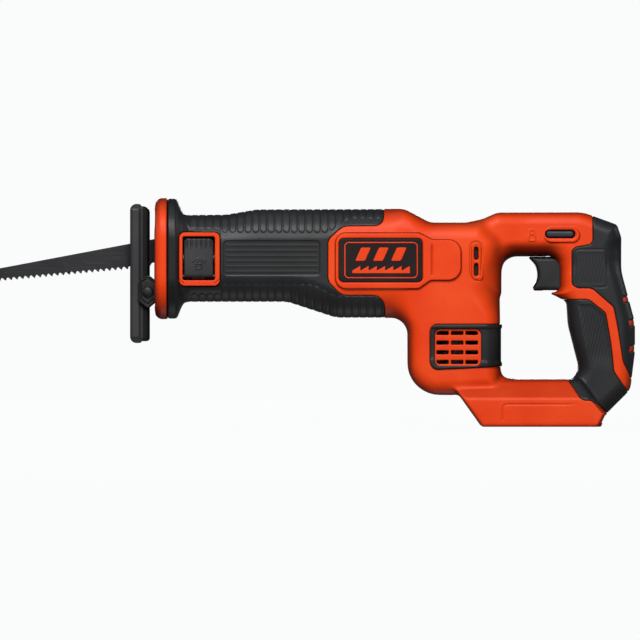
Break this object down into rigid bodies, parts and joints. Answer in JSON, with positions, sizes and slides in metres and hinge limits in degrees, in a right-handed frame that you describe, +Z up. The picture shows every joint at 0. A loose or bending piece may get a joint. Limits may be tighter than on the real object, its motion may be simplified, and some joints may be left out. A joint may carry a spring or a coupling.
{
  "type": "reciprocating saw",
  "caption": "Cordless reciprocating saw, bare tool: D handle, trigger, lock-off button, pivoting shoe, tool-free blade release and a fitted blade.",
  "frame": {"origin": "centre of the battery foot's underside, on the parting plane of the shells", "axes": "+Z up, -X towards the blade tip, +Y to the tool's right; the saw lies along X"},
  "size_m": [0.4766, 0.075, 0.1667],
  "materials": {
    "orange_plastic": "fine moulded texture",
    "grip_rubber": "soft over-mould, ribbed",
    "black_plastic": "satin moulded",
    "nameplate_plastic": "satin plate with a raised pattern",
    "screw_steel": "black oxide",
    "steel": "ground",
    "gear_steel": "machined, oiled",
    "bronze": "sintered bronze",
    "cast_alloy": "die cast",
    "seal_rubber": "moulded",
    "magnet": "ferrite",
    "carbon": "carbon brush",
    "copper": "enamelled copper",
    "laminations": "stacked steel sheet",
    "wire_insulation": "PVC",
    "coated_steel": "black coated pressed steel",
    "blade_steel": "dark coated blade steel"
  },
  "bodies": {
    "housing": {"left_shell": "orange_plastic", "right_shell": "orange_plastic", "front_grip_left": "grip_rubber", "front_grip_right": "grip_rubber", "rear_grip_left": "grip_rubber", "rear_grip_right": "grip_rubber", "nose_ring": "orange_plastic", "nose_cover": "black_plastic", "lever_bezel": "orange_plastic", "motor_band": "black_plastic", "nameplate_left": "nameplate_plastic", "nameplate_right": "nameplate_plastic", "housing_screws": "screw_steel", "gear_frame": "cast_alloy", "front_bushing": "bronze", "rear_bushing": "bronze", "ram_seal": "seal_rubber", "gear_spindle": "steel", "motor_can": "coated_steel", "motor_magnets": "magnet", "motor_end_cap": "black_plastic", "motor_brushes": "carbon", "motor_bearing_top": "steel", "motor_bearing_bottom": "steel", "switch_body": "black_plastic", "terminal_block": "black_plastic", "battery_contacts": "copper", "power_leads": "wire_insulation", "motor_leads": "wire_insulation", "shoe_bracket": "coated_steel", "shoe_pin": "steel", "shoe_pin_clips": "steel", "lever_pin": "steel", "lever_spring": "steel"},
    "reciprocator": {"ram": "steel", "scotch_yoke": "gear_steel", "clamp_body": "gear_steel", "clamp_pin": "steel", "clamp_spring": "steel", "clamp_clip": "steel", "blade": "blade_steel"},
    "collar": {"release_collar": "gear_steel"},
    "crank": {"crank_gear": "gear_steel", "crank_bearing": "bronze", "crank_pin": "gear_steel", "crank_roller": "bronze"},
    "armature": {"armature_shaft": "steel", "armature_core": "laminations", "armature_windings": "copper", "commutator": "copper", "pinion": "gear_steel", "cooling_fan": "black_plastic"},
    "shoe": {"shoe": "coated_steel"},
    "blade_lever": {"release_lever": "black_plastic"},
    "trigger": {"trigger": "black_plastic", "trigger_spring": "steel"},
    "lock_button": {"lock_button": "black_plastic"}
  },
  "joints": [
    {"name": "plunger_slide", "type": "slide", "parent": "housing", "child": "reciprocator", "axis": [1, 0, 0], "range_m": [-0.011, 0.011]},
    {"name": "crank_spin", "type": "hinge", "parent": "housing", "child": "crank", "pos_m": [-0.0916, 0, 0.1045], "axis": [0, 0, 1], "range_deg": [-90.2, 90.2]},
    {"name": "armature_spin", "type": "hinge", "parent": "housing", "child": "armature", "pos_m": [-0.064, 0, 0.06], "axis": [0, 0, 1], "range_deg": [-428.5, 428.5]},
    {"name": "shoe_pivot", "type": "hinge", "parent": "housing", "child": "shoe", "pos_m": [-0.2873, 0, 0.0983], "axis": [0, 1, 0], "range_deg": [-12, 3]},
    {"name": "blade_release", "type": "hinge", "parent": "housing", "child": "blade_lever", "pos_m": [-0.2502, -0.0278, 0.1096], "axis": [1, 0, 0], "range_deg": [0, 50]},
    {"name": "collar_turn", "type": "hinge", "parent": "reciprocator", "child": "collar", "pos_m": [-0.2513, 0, 0.1225], "axis": [1, 0, 0], "range_deg": [-30.2, 0.2]},
    {"name": "trigger_pull", "type": "slide", "parent": "housing", "child": "trigger", "axis": [1, 0, 0], "range_m": [0, 0.006], "deforming": ["trigger_spring"]},
    {"name": "lock_off_push", "type": "slide", "parent": "housing", "child": "lock_button", "axis": [0, 1, 0], "range_m": [-0.003, 0.003]}
  ],
  "couplings": [
    {"joint": "crank_spin", "follows": "plunger_slide", "rad_per_m": -142.8},
    {"joint": "armature_spin", "follows": "plunger_slide", "rad_per_m": 678.3},
    {"joint": "collar_turn", "follows": "blade_release", "ratio": -0.6}
  ]
}
